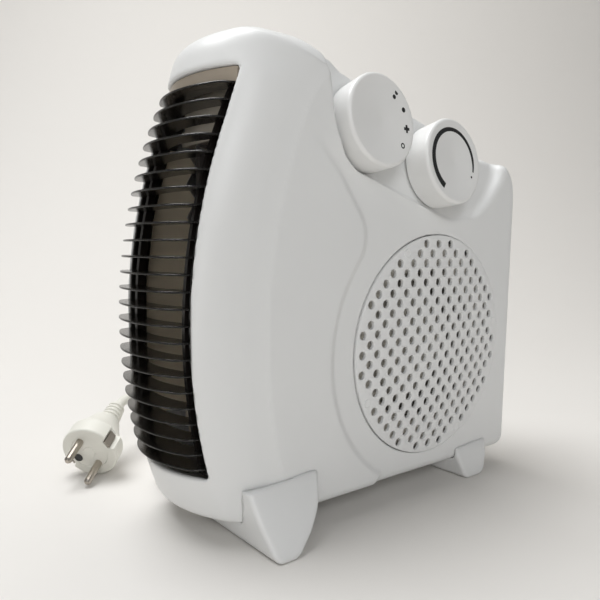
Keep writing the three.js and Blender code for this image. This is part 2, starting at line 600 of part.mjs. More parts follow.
function mainsLead() {
  const relief = turned([[0, 0], [6.9, 0], [6.9, 2], [5.9, 2.4], [4.4, 30], [0, 30]], 16);
  relief.rotateX(-Math.PI / 2).translate(GLAND.x, REAR_Y - 0.3, GLAND.z);
  piece('strain_relief', relief, LEAD);
  const clamp = solid(box(-35, -17, 92, 106, 26, 38)).subtract(solid(box(-30, -22, 90, 120, 29, 35)));
  piece('cord_clamp', clamp, DARK);
  piece('terminal_block', box(-38, -20, 56, 86, 18, 30), LEAD);

  leadTube('cord_lead', LEAD_OUT);
  leadTube('cord_tail', LEAD_IN);
  const { x, y, inner, outer, height } = COIL;
  piece('cord_coil', turned(tube(inner, outer, 0.1, height), 36).translate(x, y, 0), LEAD);

  const tieOuter = solid(box(inner - 1.9, outer + 1.3, -5, 5, 0.05, height + 1.2));
  const tieInner = solid(box(inner - 0.9, outer + 0.3, -9, 9, -2, height + 0.3));
  piece('cord_tie', tieOuter.subtract(tieInner), DARK).position.set(x, y, 0);

  const plug = new THREE.Group();
  const z = PLUG.aim;
  const x1 = PLUG.pins.clone().addScaledVector(z, -PLUG.pins.dot(z)).normalize();
  plug.matrix.makeBasis(x1, new THREE.Vector3().crossVectors(z, x1), z).setPosition(PLUG.face);
  plug.matrix.decompose(plug.position, plug.quaternion, plug.scale);
  heater.add(plug);
  const profile = [[0, 0], [17.2, 0], [18.5, -1.5], [18.5, -11], [17.2, -13], [10.5, -31], [7.6, -34],
    [7, -46], [5.4, -50], [0, -50]].reverse();
  let body = solid(turned(profile, 28));
  [-1, 1].forEach((s) => {
    body = body.subtract(solid(turned(rod(2.7, -6, 3), 12).translate(s * 9.5, 0, 0)));
    body = body.subtract(solid(box(-3.6, 3.6, 14.6, 22, -12, 2).rotateZ(s > 0 ? 0 : Math.PI)));
  });
  piece('plug_body', body, LEAD, plug);
  [-1, 1].forEach((s) => {
    const pin = turned([[0, -5.6], [2.4, -5.6], [2.4, 17.6], [1.4, 19], [0, 19]], 12);
    piece(s < 0 ? 'plug_pin_1' : 'plug_pin_2', pin, STEEL, plug).position.x = s * 9.5;
    const clip = box(-2.4, 2.4, 14.9, 15.9, -11.6, 0);
    piece(s < 0 ? 'earth_clip_1' : 'earth_clip_2', clip, BRASS, plug).rotation.z = s > 0 ? 0 : Math.PI;
  });
}

shells();
outletGrille();
intakeGrille();
controls();
heatingBlock();
airDuct();
blower();
screws();
feet();
mainsLead();

export default heater;
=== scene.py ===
"""A compact ceramic fan heater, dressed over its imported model. Shapes are worked out in millimetres."""

import math

import bmesh
import bpy
import numpy as np
from mathutils import Matrix, Vector


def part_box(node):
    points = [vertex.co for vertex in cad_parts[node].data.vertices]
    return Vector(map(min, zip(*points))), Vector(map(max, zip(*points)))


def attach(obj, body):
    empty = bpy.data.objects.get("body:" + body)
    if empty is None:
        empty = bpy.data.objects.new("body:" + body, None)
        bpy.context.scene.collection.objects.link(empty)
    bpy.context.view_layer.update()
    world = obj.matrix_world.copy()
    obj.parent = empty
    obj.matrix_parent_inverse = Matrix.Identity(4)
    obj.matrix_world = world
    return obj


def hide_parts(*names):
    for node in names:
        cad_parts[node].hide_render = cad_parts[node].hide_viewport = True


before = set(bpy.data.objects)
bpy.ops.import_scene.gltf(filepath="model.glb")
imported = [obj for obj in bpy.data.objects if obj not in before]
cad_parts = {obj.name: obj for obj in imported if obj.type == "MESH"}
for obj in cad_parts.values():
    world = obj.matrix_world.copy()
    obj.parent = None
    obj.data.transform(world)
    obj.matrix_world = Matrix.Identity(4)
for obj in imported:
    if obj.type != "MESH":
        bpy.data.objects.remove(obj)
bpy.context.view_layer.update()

MM = 0.001


def box_mm(node):
    """The node's box in millimetres, as two arrays."""
    low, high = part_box(node)
    return np.array(low) / MM, np.array(high) / MM


# ---------------------------------------------------------------- sizes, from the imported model
near_low, near_high = box_mm("near_housing")
far_low, far_high = box_mm("far_housing")
grille_low, grille_high = box_mm("intake_grille")
mode_low, mode_high = box_mm("function_shaft")
warm_low, warm_high = box_mm("thermostat_shaft")

GAP = 0.3  # clearance at the seams
WALL = 2.4
HEIGHT = near_high[2]
BELLY_Z = near_low[2]
HEAD_X = near_high[0]
FLAT_X = -far_low[0]
PARTING_X = far_high[0] + GAP / 2
REAR_Y = 132.3
REAR_TOP_Y = 122.7
HORN_Z = 205.5

NOSE_RADIUS = 262.0  # curve of the front seen from the side
NOSE_CENTRE = (133.5, 108.0)
BOW_RADIUS = 57.0  # curve of the front seen from above
OPENING_X = 33.0
OPENING_Z = (37.0, 230.0)
FADE_Y = -10.0  # the front's draw-back ends here
FLANK_SLOPE = 0.71  # how steeply the front draws back beside the outlet
CORNER_DEPTH = 30.0  # how far it draws back in the turn to the sides
CORNER_TURN = 0.985  # the turn stops at this share of its radius, so that its slope stays finite

SIDE_EDGE = 6.0  # fillets between the sides and the rim
CROWN_EDGE = 24.0
NOSE_EDGE = 4.0
FIELD_LOW_Y, FIELD_HIGH_Y = -126, 135  # the shells are looked for inside these
FIELD_LOW_Z, FIELD_HIGH_Z = 10, 252.5

HUB = (grille_low + grille_high) / 2
INTAKE_RADIUS = (grille_high[1] - grille_low[1]) / 2
HOLE_PITCH = 11.0
HOLE_RADIUS = 2.45
HOLE_REACH = 5.62  # the lattice ends here, in pitches from the middle
DOME_RISE = 2.6
SEAT_DEPTH = 1.7
SEAT_LIP = 3.5  # width of the ring that the intake sits on

PANEL_TILT = math.radians(10)
PANEL_OFFSET = 70.7
KNOB_RADIUS = 23.9  # at the rim of the face
KNOB_TOP = 16.5  # rim height above the panel
KNOB_DISH = 0.5  # the face lies this much below its rim
SHAFT_HOLE_RADIUS = 3.7
SHAFT_HOLE_REACH = 8.0  # to either side of the panel
SHAFT_RISE = 3.05  # the middle of a shaft's box lies this far out of the panel

FIN_COUNT = 24
FIN_PITCH = 7.82
FIN_FIRST_Z = 41.95
FIN_THICKNESS = 1.0
FIN_DEPTH = 14.0
FIN_PROUD = 3.3
STRUT_X = 25.5
STRIP_LOW = OPENING_Z[0] + 0.4  # the grille's upright strips run between these heights
STRIP_HIGH = OPENING_Z[1] - 0.4

SCREWS = [(118, 30), (112, 178), (15, 204), (-62, 234), (-60, 24), (5, 165)]
SLEEVE_RADIUS = 6.8
WELL_RADIUS = 4.6
SCREW_HOLE_RADIUS = 2.2

CORD_DIAMETER = 7.0
GLAND_HOLE_RADIUS = 6.2
GLAND = (-26.0, 131.4, 32.0)
COIL_CENTRE = (-113.0, 158.0)
COIL_TURNS = 4.25
COIL_MEAN_RADIUS = 40.7
PLUG_FACE = Vector((-91.5, -120.6, 17.6))
PLUG_AIM = Vector((0.65, -0.67, -0.35)).normalized()
PLUG_PINS = Vector((0.14, 0.57, -0.81))


# ---------------------------------------------------------------- camera
def make_camera():
    """The photograph's camera, fitted to the heater and its plug."""
    data = bpy.data.cameras.new("camera")
    camera = bpy.data.objects.new("camera", data)
    bpy.context.collection.objects.link(camera)
    data.sensor_width = 36
    data.lens = 36 * 0.9947
    data.shift_x = 0.0833
    data.shift_y = 0.0833
    data.clip_start = 0.01
    azimuth, pitch, roll = math.radians(54.17), math.radians(9.67), math.radians(0.34)
    camera.rotation_mode = "QUATERNION"
    turn = Matrix.Rotation(azimuth, 4, "Z") @ Matrix.Rotation(math.pi / 2 - pitch, 4, "X")
    camera.rotation_quaternion = (turn @ Matrix.Rotation(roll, 4, "Z")).to_quaternion()
    camera.location = (0.2680, -0.2525, 0.1484)
    bpy.context.scene.camera = camera


make_camera()


# ---------------------------------------------------------------- small mesh tools
def add_object(name, data, body="heater"):
    """Puts the data in the scene as a piece that rides on a body."""
    piece = bpy.data.objects.new(name, data)
    bpy.context.collection.objects.link(piece)
    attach(piece, body)
    return piece


def mesh_of(name, points_mm, faces):
    """A mesh in metres from points in millimetres."""
    mesh = bpy.data.meshes.new(name)
    mesh.from_pydata([tuple(p) for p in np.asarray(points_mm, float) * MM], [], faces)
    mesh.validate()
    return mesh


def smooth(mesh, angle=None):
    """Smooth shading, kept sharp over edges steeper than the angle in degrees."""
    mesh.shade_smooth()
    if angle is not None:
        work = bmesh.new()
        work.from_mesh(mesh)
        for edge in work.edges:
            if len(edge.link_faces) == 2 and edge.calc_face_angle(0) > math.radians(angle):
                edge.smooth = False
        work.to_mesh(mesh)
        work.free()
    return mesh


def revolve(profile, segments=64):
    """Points and faces of a turned shape from (radius, height) points; its axis is the local Z."""
    points, faces = [], []
    rings = []
    for radius, height in profile:
        if radius < 1e-6:
            rings.append([len(points)])
            points.append((0, 0, height))
            continue
        rings.append(list(range(len(points), len(points) + segments)))
        for i in range(segments):
            angle = 2 * math.pi * i / segments
            points.append((radius * math.cos(angle), radius * math.sin(angle), height))
    for a, b in zip(rings, rings[1:]):
        for i in range(segments):
            j = (i + 1) % segments
            if len(a) == 1:
                faces.append((a[0], b[j], b[i]))
            elif len(b) == 1:
                faces.append((a[i], a[j], b[0]))
            else:
                faces.append((a[i], a[j], b[j], b[i]))
    return points, faces


def arc(centre_r, centre_h, radius, start, end, steps=8):
    """Points (radius, height) along a rounded corner of a turned profile, angles in degrees."""
    angles = [math.radians(start + (end - start) * i / steps) for i in range(steps + 1)]
    return [(centre_r + radius * math.cos(a), centre_h + radius * math.sin(a)) for a in angles]


def placed(points, matrix):
    """The points carried into the matrix's frame, still in millimetres."""
    return [matrix @ Vector(p) for p in points]


def rounded(corners, steps=10):
    """Rounds the corners (y, z, radius) of a closed outline; a corner of radius 0 is kept."""
    points = []
    for i, (y, z, radius) in enumerate(corners):
        here = Vector((y, z))
        if not radius:
            points.append(here)
            continue
        before = (Vector(corners[i - 1][:2]) - here).normalized()
        after = (Vector(corners[(i + 1) % len(corners)][:2]) - here).normalized()
        reach = radius / math.tan(before.angle(after) / 2)
        start, end = here + before * reach, here + after * reach
        for step in range(steps + 1):
            t = step / steps
            points.append(start * (1 - t) ** 2 + here * 2 * t * (1 - t) + end * t**2)
    return [tuple(p) for p in points]


# ---------------------------------------------------------------- distance fields
def step_between(low, high, value):
    """A smooth step from 0 at low to 1 at high."""
    t = np.clip((value - low) / (high - low), 0, 1)
    return t * t * (3 - 2 * t)


def blend_max(a, b, width):
    """The larger of two distances, rounded over a width where they meet."""
    near = np.maximum(width - np.abs(a - b), 0)
    return np.maximum(a, b) + near**2 / (4 * width)


def round_max(a, b, radius):
    """Two faces that meet in a true fillet of that radius."""
    u, v = a + radius, b + radius
    outside = np.hypot(np.maximum(u, 0), np.maximum(v, 0))
    return np.minimum(np.maximum(u, v), 0) + outside - radius


def outline_distance(outline, y, z):
    """Distance to a closed outline in the side view, negative inside it."""
    nearest = np.full(y.shape, np.inf)
    inside = np.zeros(y.shape, bool)
    for (ay, az), (by, bz) in zip(outline, outline[1:] + outline[:1]):
        ey, ez = by - ay, bz - az
        if ey == 0 and ez == 0:
            continue
        t = np.clip(((y - ay) * ey + (z - az) * ez) / (ey * ey + ez * ez), 0, 1)
        nearest = np.minimum(nearest, (y - ay - ey * t) ** 2 + (z - az - ez * t) ** 2)
        if ez:
            crossing = ((az <= z) & (z < bz)) | ((bz <= z) & (z < az))
            inside ^= crossing & (y < ay + (z - az) * ey / ez)
    return np.where(inside, -1, 1) * np.sqrt(nearest)


class Chart:
    """A function of (y, z) kept on a half-millimetre grid, read back by linear interpolation."""

    def __init__(self, function, low=(-150, -10), high=(160, 290), step=0.5):
        self.low, self.step = low, step
        across = np.arange(low[0], high[0], step)
        up = np.arange(low[1], high[1], step)
        self.values = function(*np.meshgrid(across, up, indexing="ij"))

    def __call__(self, y, z):
        rows, columns = self.values.shape
        u = np.clip((y - self.low[0]) / self.step, 0, rows - 1.001)
        v = np.clip((z - self.low[1]) / self.step, 0, columns - 1.001)
        i, j = u.astype(int), v.astype(int)
        s, t = u - i, v - j
        grid = self.values
        low = grid[i, j] * (1 - s) + grid[i + 1, j] * s
        high = grid[i, j + 1] * (1 - s) + grid[i + 1, j + 1] * s
        return low * (1 - t) + high * t


def surface_net(field, low, high, cell):
    """Meshes the zero surface of a field inside a box: points in millimetres, and quads."""
    low, high = np.array(low, float), np.array(high, float)
    counts = np.ceil((high - low) / cell).astype(int) + 1
    xs, ys, zs = (low[i] + cell * np.arange(counts[i]) for i in range(3))
    y, z = np.meshgrid(ys, zs, indexing="ij")
    values = np.stack([field(np.full(y.shape, x), y, z) for x in xs])
    inside = values < 0
    corners = [(i, j, k) for i in (0, 1) for j in (0, 1) for k in (0, 1)]
    nx, ny, nz = counts - 1
    filled = sum(inside[i : i + nx, j : j + ny, k : k + nz].astype(int) for i, j, k in corners)
    cells = np.argwhere((filled > 0) & (filled < 8))
    number = np.full((nx, ny, nz), -1)
    number[tuple(cells.T)] = np.arange(len(cells))
    total = np.zeros((len(cells), 3))
    hits = np.zeros(len(cells))
    for corner in corners:
        for axis in range(3):
            if corner[axis]:
                continue
            other = list(corner)
            other[axis] = 1
            a = values[tuple((cells + corner).T)]
            b = values[tuple((cells + other).T)]
            cut = (a < 0) != (b < 0)
            place = np.tile(np.array(corner, float), (len(cells), 1))
            place[cut, axis] += a[cut] / (a[cut] - b[cut])
            total[cut] += place[cut]
            hits[cut] += 1
    points = low + cell * (cells + total / hits[:, None])
    quads = []
    for axis in range(3):
        u, v = (axis + 1) % 3, (axis + 2) % 3
        first = [slice(None)] * 3
        second = [slice(None)] * 3
        first[axis], second[axis] = slice(0, -1), slice(1, None)
        changed = inside[tuple(first)] != inside[tuple(second)]
        edges = np.argwhere(changed)
        edges = edges[(edges[:, u] > 0) & (edges[:, v] > 0)]
        edges = edges[(edges[:, u] < counts[u] - 1) & (edges[:, v] < counts[v] - 1)]
        step_u, step_v = np.eye(3, dtype=int)[u], np.eye(3, dtype=int)[v]
        ring = [edges, edges - step_u, edges - step_u - step_v, edges - step_v]
        quad = np.stack([number[tuple(r.T)] for r in ring], axis=1)
        outward = inside[tuple(edges.T)]
        quad[outward] = quad[outward][:, ::-1]
        quads.append(quad[:, ::-1])
    return points, np.concatenate(quads)


def slope(field, points, reach=0.4):
    """The field's gradient at the points, measured over a reach to either side."""
    gradient = np.empty_like(points)
    for axis in range(3):
        offset = np.zeros(3)
        offset[axis] = reach
        ahead, behind = points + offset, points - offset
        gradient[:, axis] = (field(*ahead.T) - field(*behind.T)) / (2 * reach)
    return gradient


def field_piece(name, field, low, high, cell, keep):
    """A closed piece bounded by the zero surface of a field, with its shading taken from the field.

    The net is drawn onto the surface three times, and then thinned to a share of its faces.
    """
    points, quads = surface_net(field, low, high, cell)
    for _ in range(3):
        gradient = slope(field, points)
        size = np.maximum((gradient**2).sum(axis=1), 0.25)
        shift = -(field(*points.T) / size)[:, None] * gradient
        points = points + np.clip(shift, -0.6 * cell, 0.6 * cell)
    rough = bpy.data.objects.new(name + "_rough", mesh_of(name, points, quads.tolist()))
    bpy.context.collection.objects.link(rough)
    thin = rough.modifiers.new("thin", "DECIMATE")
    thin.ratio = keep
    shape = bpy.data.meshes.new_from_object(rough.evaluated_get(bpy.context.evaluated_depsgraph_get()))
    old = rough.data
    bpy.data.objects.remove(rough)
    bpy.data.meshes.remove(old)
    shape.name = name
    shape.shade_smooth()
    kept = np.empty(len(shape.vertices) * 3)
    shape.vertices.foreach_get("co", kept)
    normals = slope(field, kept.reshape(-1, 3) / MM, 1.2)
    normals /= np.maximum(np.linalg.norm(normals, axis=1), 1e-6)[:, None]
    shape.normals_split_custom_set_from_vertices(normals.tolist())
    return add_object(name, shape)


# ---------------------------------------------------------------- the housing's form
def nose_y(z):
    """The front's foremost line, seen from the side."""
    return NOSE_CENTRE[0] - np.sqrt(NOSE_RADIUS**2 - (z - NOSE_CENTRE[1]) ** 2)


def setback(x, half_width):
    """How far the front draws back from its foremost line, at a distance x from the middle."""
    inner = np.minimum(np.abs(x), OPENING_X)
    past = np.maximum(np.abs(x) - OPENING_X, 0)
    turn = CORNER_TURN * np.minimum(past / (half_width - OPENING_X), 1)
    bow = BOW_RADIUS - np.sqrt(BOW_RADIUS**2 - inner**2)
    return bow + FLANK_SLOPE * past + CORNER_DEPTH * (1 - np.sqrt(1 - turn**2))


def side_outline():
    """The heater's outline seen from the side, from the lower rear corner over the crown to the nose."""
    nose = [(float(nose_y(z)), z, 0) for z in range(206, 24, -6)]
    corners = [
        (REAR_Y, BELLY_Z, 9),
        (REAR_TOP_Y, HORN_Z, 28),
        (92, HORN_Z, 14),
        (-26, 238.5, 0),
        (-33, 243, 9),
        (-65, HEIGHT, 20),
        (-96, HEIGHT, 17),
        (-102, 227, 0),
    ]
    return rounded(corners + nose + [(float(nose_y(BELLY_Z)), BELLY_Z, 9)])


def rear_outline():
    """The lower rear area of the near side: an arc round the intake, then a crease to the pocket."""
    radius = 1.27 * INTAKE_RADIUS
    angles = [math.radians(a) for a in (*np.linspace(239, 143, 36), 132)]
    sweep = [(HUB[1] + radius * math.cos(a), HUB[2] + radius * math.sin(a), 0) for a in angles]
    bend = (*sweep.pop()[:2], 22)
    crease = [(-36, 184, 0), (-56, 203, 0)]
    outside = [(-40, 260, 0), (190, 260, 0), (190, -20, 0), (-14, -20, 0)]
    return rounded(sweep + [bend] + crease + outside)


# the upper edge of the near side round the knob pocket, closed far above the heater
RIM = [
    (-47, 236, 0),
    (-44.5, 223.6, 0),
    (-41.5, 208, 30),
    (-33, 193.2, 20),
    (-23.5, 187.2, 10),
    (-11.5, 184.6, 20),
    (31, 172, 40),
    (56.7, 164.5, 30),
    (79.2, 168.5, 16),
    (91.5, 179, 20),
    (104, 193, 20),
    (109, 206, 0),
    (112, 290, 0),
    (-47, 290, 0),
]

side_chart = Chart(lambda y, z: outline_distance(side_outline(), y, z))
rear_chart = Chart(lambda y, z: outline_distance(rear_outline(), y, z))
rim_chart = Chart(lambda y, z: outline_distance(rounded(RIM, 6), y, z))


def softened(values, reach):
    """Averages a chart over nearby cells three times, so that a jump in it becomes a ramp."""
    for _ in range(3):
        for axis in (0, 1):
            values = sum(np.roll(values, k, axis) for k in range(-reach, reach + 1)) / (2 * reach + 1)
    return values


def edge_radius(y, z):
    """Fillet between the sides and the rim of the housing: large on the crown, small on the nose."""
    across, up = np.gradient(side_chart.values, side_chart.step)
    high = step_between(212, 238, z)
    crown = step_between(-20, -50, y) * np.maximum(step_between(0.2, 0.7, up), high)
    nose = step_between(0.3, 0.85, -across) * (1 - high)
    edge = SIDE_EDGE + (CROWN_EDGE - SIDE_EDGE) * crown
    return softened(edge * (1 - nose) + NOSE_EDGE * nose, 8)


edge_chart = Chart(edge_radius)


def near_width(y, z):
    """Half width of the near side: full at the head, and stepped in over the lower rear area."""
    fade = 1 - step_between(178, 206, z) * step_between(20, -20, y)
    return HEAD_X - (HEAD_X - FLAT_X) * step_between(-2.6, 3.2, -rear_chart(y, z)) * fade


def body_field(x, y, z, inset=0.0):
    """The closed form of the whole housing, or of the hollow an inset inside it."""
    back = setback(x, np.where(x > 0, HEAD_X, FLAT_X) - inset)
    share = np.clip(1 - back / (FADE_Y - nose_y(z)), 0.3, 1)
    level = np.where(y < FADE_Y, FADE_Y - (FADE_Y - y) / share, y)
    half = np.where(x > 0, near_width(y, z), FLAT_X) - inset
    return round_max(side_chart(level, z) + inset, np.abs(x) - half, edge_chart(level, z))


def pocket_field(x, y, z):
    """The scooped pocket for the knobs."""
    inset = np.interp(x, [15, 34, 39, 60], [8, 2.5, 0.5, -0.5])
    panel = PANEL_OFFSET - x * math.cos(PANEL_TILT) - z * math.sin(PANEL_TILT)
    return blend_max(rim_chart(y, z) + inset, panel, 3)


def shell_field(x, y, z):
    """The hollow housing with its knob pocket, its outlet mouth and the hole for the gland."""
    rim = 1.6 + 5.4 * step_between(66, 98, y)  # crisp beside the knobs, soft at the rear
    wall = WALL * (1 + step_between(-20, -60, y))  # twice as thick in the head
    pocket = pocket_field(x, y, z)
    form = blend_max(body_field(x, y, z), -pocket, rim)
    hollow = blend_max(body_field(x, y, z, wall), WALL - pocket, rim)
    shell = np.maximum(form, -hollow)
    mid = (OPENING_Z[0] + OPENING_Z[1]) / 2
    tall = (OPENING_Z[1] - OPENING_Z[0]) / 2
    mouth = np.maximum(round_max(np.abs(x) - OPENING_X, np.abs(z - mid) - tall, 2.5), y + 60)
    gland = np.maximum(np.hypot(x - GLAND[0], z - GLAND[2]) - GLAND_HOLE_RADIUS, 115 - y)
    return np.maximum(blend_max(shell, -mouth, 2.5), -gland)


def shaft_hole(x, y, z, matrix):
    """The round hole in the panel that a knob's shaft passes through."""
    offset = [value - base for value, base in zip((x, y, z), matrix.translation)]
    along = sum(a * b for a, b in zip(offset, matrix.col[2]))
    radius = np.sqrt(np.maximum(sum(a * a for a in offset) - along**2, 0))
    return np.maximum(radius - SHAFT_HOLE_RADIUS, np.abs(along) - SHAFT_HOLE_REACH)


def near_field(x, y, z):
    """The near side: the seat and the opening of the intake, and the holes for the knobs' shafts."""
    hub = np.hypot(y - HUB[1], z - HUB[2])
    seat = np.maximum(hub - INTAKE_RADIUS - GAP, FLAT_X - SEAT_DEPTH - x)
    intake = np.maximum(hub - INTAKE_RADIUS + SEAT_LIP, 36 - x)
    shell = blend_max(shell_field(x, y, z), -seat, 1.0)
    for low, high in ((mode_low, mode_high), (warm_low, warm_high)):
        shell = np.maximum(shell, -shaft_hole(x, y, z, knob_matrix(low, high)))
    return np.maximum(np.maximum(shell, -intake), PARTING_X + GAP / 2 - x)


def far_field(x, y, z):
    """The far side: six screws, each with a sleeve inside, a well outside and a hole between."""
    shell = shell_field(x, y, z)
    for screw_y, screw_z in SCREWS:
        radius = np.hypot(y - screw_y, z - screw_z)
        sleeve = np.maximum(radius - SLEEVE_RADIUS, np.maximum(-42.5 - x, x + 33))
        shell = np.minimum(shell, sleeve)
        shell = blend_max(shell, -np.maximum(radius - WELL_RADIUS, x + 38), 0.8)
        shell = np.maximum(shell, -(radius - SCREW_HOLE_RADIUS))
    return np.maximum(shell, x - PARTING_X + GAP / 2)


def shell_piece(name, field, low_x, high_x):
    """One side of the housing, meshed between two planes across X."""
    fine = 1.3
    low = (low_x, FIELD_LOW_Y, FIELD_LOW_Z)
    high = (high_x, FIELD_HIGH_Y, FIELD_HIGH_Z)
    return field_piece(name, field, low, high, fine, keep=0.6)


def make_shells():
    near = shell_piece("near_shell", near_field, PARTING_X - 1.1, HEAD_X + 2)
    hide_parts("near_housing")
    far = shell_piece("far_shell", far_field, -FLAT_X - 2, PARTING_X + 1.2)
    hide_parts("far_housing")
    return near, far


# ---------------------------------------------------------------- feet
def foot_piece(name, node, corners, half_top, half_floor, top_z):
    """A wide foot over its side outline: it flares towards the floor and clears the housing above."""
    outline = rounded(corners, 8)
    chart = Chart(lambda y, z: outline_distance(outline, y, z))
    flare = (half_floor - half_top) / top_z

    def field(x, y, z):
        bar = blend_max(chart(y, z), np.abs(x) - half_top - (top_z - z) * flare, 3.0)
        lid = z - top_z + 1.5 + 0.08 * (corners[-1][0] - y)
        bar = blend_max(bar, lid, 0.8)
        return np.maximum(bar, GAP + 0.05 - body_field(x, y, z))

    low, high = box_mm(node)
    cell = 1.0
    piece = field_piece(name, field, low - 1.5, high + 1.5, cell, keep=0.4)
    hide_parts(node)
    return piece


def make_feet():
    """The two feet, each from its side outline of (y, z, corner radius) points."""
    front = [
        (-95, 40, 0),
        (-92.6, 18, 40),
        (-88.6, 0, 5),
        (-75, 0, 12),
        (-63, 9, 16),
        (-53.2, 19.6, 30),
        (-46.4, 40, 0),
    ]
    rear = [(70, 28, 0), (75, 14, 14), (80.6, 0, 5), (99.5, 0, 9), (105.5, 12, 14), (108, 28, 0)]
    return [
        foot_piece("front_foot_shell", "front_foot", front, 46.3, 66, 36.6),
        foot_piece("rear_foot_shell", "rear_foot", rear, 44.2, 50.7, 25),
    ]


# ---------------------------------------------------------------- outlet grille
def prism(outline, low, high):
    """Points and faces of an upright prism over a plan outline."""
    count = len(outline)
    points = [(x, y, low) for x, y in outline] + [(x, y, high) for x, y in outline]
    faces = [tuple(range(count))[::-1], tuple(range(count, 2 * count))]
    faces += [(i, (i + 1) % count, count + (i + 1) % count, count + i) for i in range(count)]
    return points, faces


def fin_outline(z):
    """A fin seen from above: it follows the front's bow, with its two front corners eased."""
    edge = OPENING_X - 0.6
    front = float(nose_y(z)) - FIN_PROUD
    xs = np.linspace(-edge, edge, 29)
    lead = front + setback(xs, HEAD_X)
    ease = 4.0
    corner = np.clip((np.abs(xs) - (edge - ease)) / ease, 0, 1)
    lead = lead + ease * (1 - np.sqrt(1 - corner**2))
    trail = front + setback(xs, HEAD_X) + FIN_DEPTH
    return list(zip(xs, lead)) + list(zip(xs[::-1], trail[::-1]))


def rib(x, width, front, depth):
    """An upright strip that follows the curved nose, a distance behind its foremost line."""
    points, faces = [], []
    steps = 28
    for i in range(steps + 1):
        z = STRIP_LOW + (STRIP_HIGH - STRIP_LOW) * i / steps
        y = float(nose_y(z)) + front
        points += [(x - width / 2, y, z), (x + width / 2, y, z)]
        points += [(x + width / 2, y + depth, z), (x - width / 2, y + depth, z)]
    for i in range(steps):
        for k in range(4):
            a, b = 4 * i + k, 4 * i + (k + 1) % 4
            faces.append((a, b, b + 4, a + 4))
    faces += [(3, 2, 1, 0), tuple(4 * steps + k for k in range(4))]
    return points, faces


def bowed_strip(low, high, front, depth):
    """A level strip that follows the front's bow, a distance behind its surface."""
    edge = OPENING_X - 1.4
    xs = np.linspace(-edge, edge, 25)
    lead = float(nose_y((low + high) / 2)) + front + setback(xs, HEAD_X)
    return prism(list(zip(xs, lead)) + list(zip(xs[::-1], lead[::-1] + depth)), low, high)


def joined(name, parts):
    """One mesh from several parts, each a pair of points and faces."""
    points, faces = [], []
    for part_points, part_faces in parts:
        offset = len(points)
        points += list(part_points)
        faces += [tuple(offset + i for i in face) for face in part_faces]
    return mesh_of(name, points, faces)


def make_outlet_grille():
    """The fins, and the bars, side flanges and top strip that hold them."""
    parts = []
    for i in range(FIN_COUNT):
        z = FIN_FIRST_Z + i * FIN_PITCH
        parts.append(prism(fin_outline(z), z, z + FIN_THICKNESS))
    fins = add_object("outlet_fins", joined("outlet_fins", parts))
    soft = fins.modifiers.new("edges", "BEVEL")
    soft.width, soft.segments, soft.limit_method = 0.4 * MM, 2, "ANGLE"
    smooth(fins.data, 40)
    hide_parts("outlet_grille")
    edge = OPENING_X - 1.1
    bars = [rib(s * STRUT_X, 2.6, 12.5, 4) for s in (-1, 1)]
    for z in (STRIP_LOW, OPENING_Z[1] - 1.6):
        y = float(nose_y(z)) + 12.8
        bars.append(prism([(-edge, y), (edge, y), (edge, y + 11), (-edge, y + 11)], z, z + 1.2))
    struts = add_object("outlet_struts", smooth(joined("outlet_struts", bars), 30))
    sides = [rib(s * edge, 1.4, 12.2, 12.5) for s in (-1, 1)]
    flanges = add_object("outlet_flanges", smooth(joined("outlet_flanges", sides), 30))
    top_fin = FIN_FIRST_Z + (FIN_COUNT - 1) * FIN_PITCH
    brow_mesh = mesh_of("outlet_brow", *bowed_strip(top_fin + FIN_THICKNESS, STRIP_HIGH, 0.8, 1.6))
    brow = add_object("outlet_brow", smooth(brow_mesh, 30))
    return fins, struts, flanges, brow


# ---------------------------------------------------------------- round intake
def hole_centres():
    """The diagonal lattice of holes in the intake, parted into open holes and blank places."""
    blanks = [(-2.5, 5), (5.5, 1), (2.5, -5), (-5, -2.5)]
    open_holes, blank_holes = [], []
    for row in range(-11, 12):
        for column in range(-7, 8):
            u = column + (0 if row % 2 else 0.5)
            v = row / 2
            if math.hypot(u, v) >= HOLE_REACH:
                continue
            blank = any(math.hypot(u - a, v - b) < 0.3 for a, b in blanks)
            (blank_holes if blank else open_holes).append((u * HOLE_PITCH, v * HOLE_PITCH))
    return open_holes, blank_holes


def dome_height(radius):
    """How far the intake bulges outwards at a radius from its middle."""
    return DOME_RISE * np.maximum(0, 1 - (radius / INTAKE_RADIUS) ** 1.6)


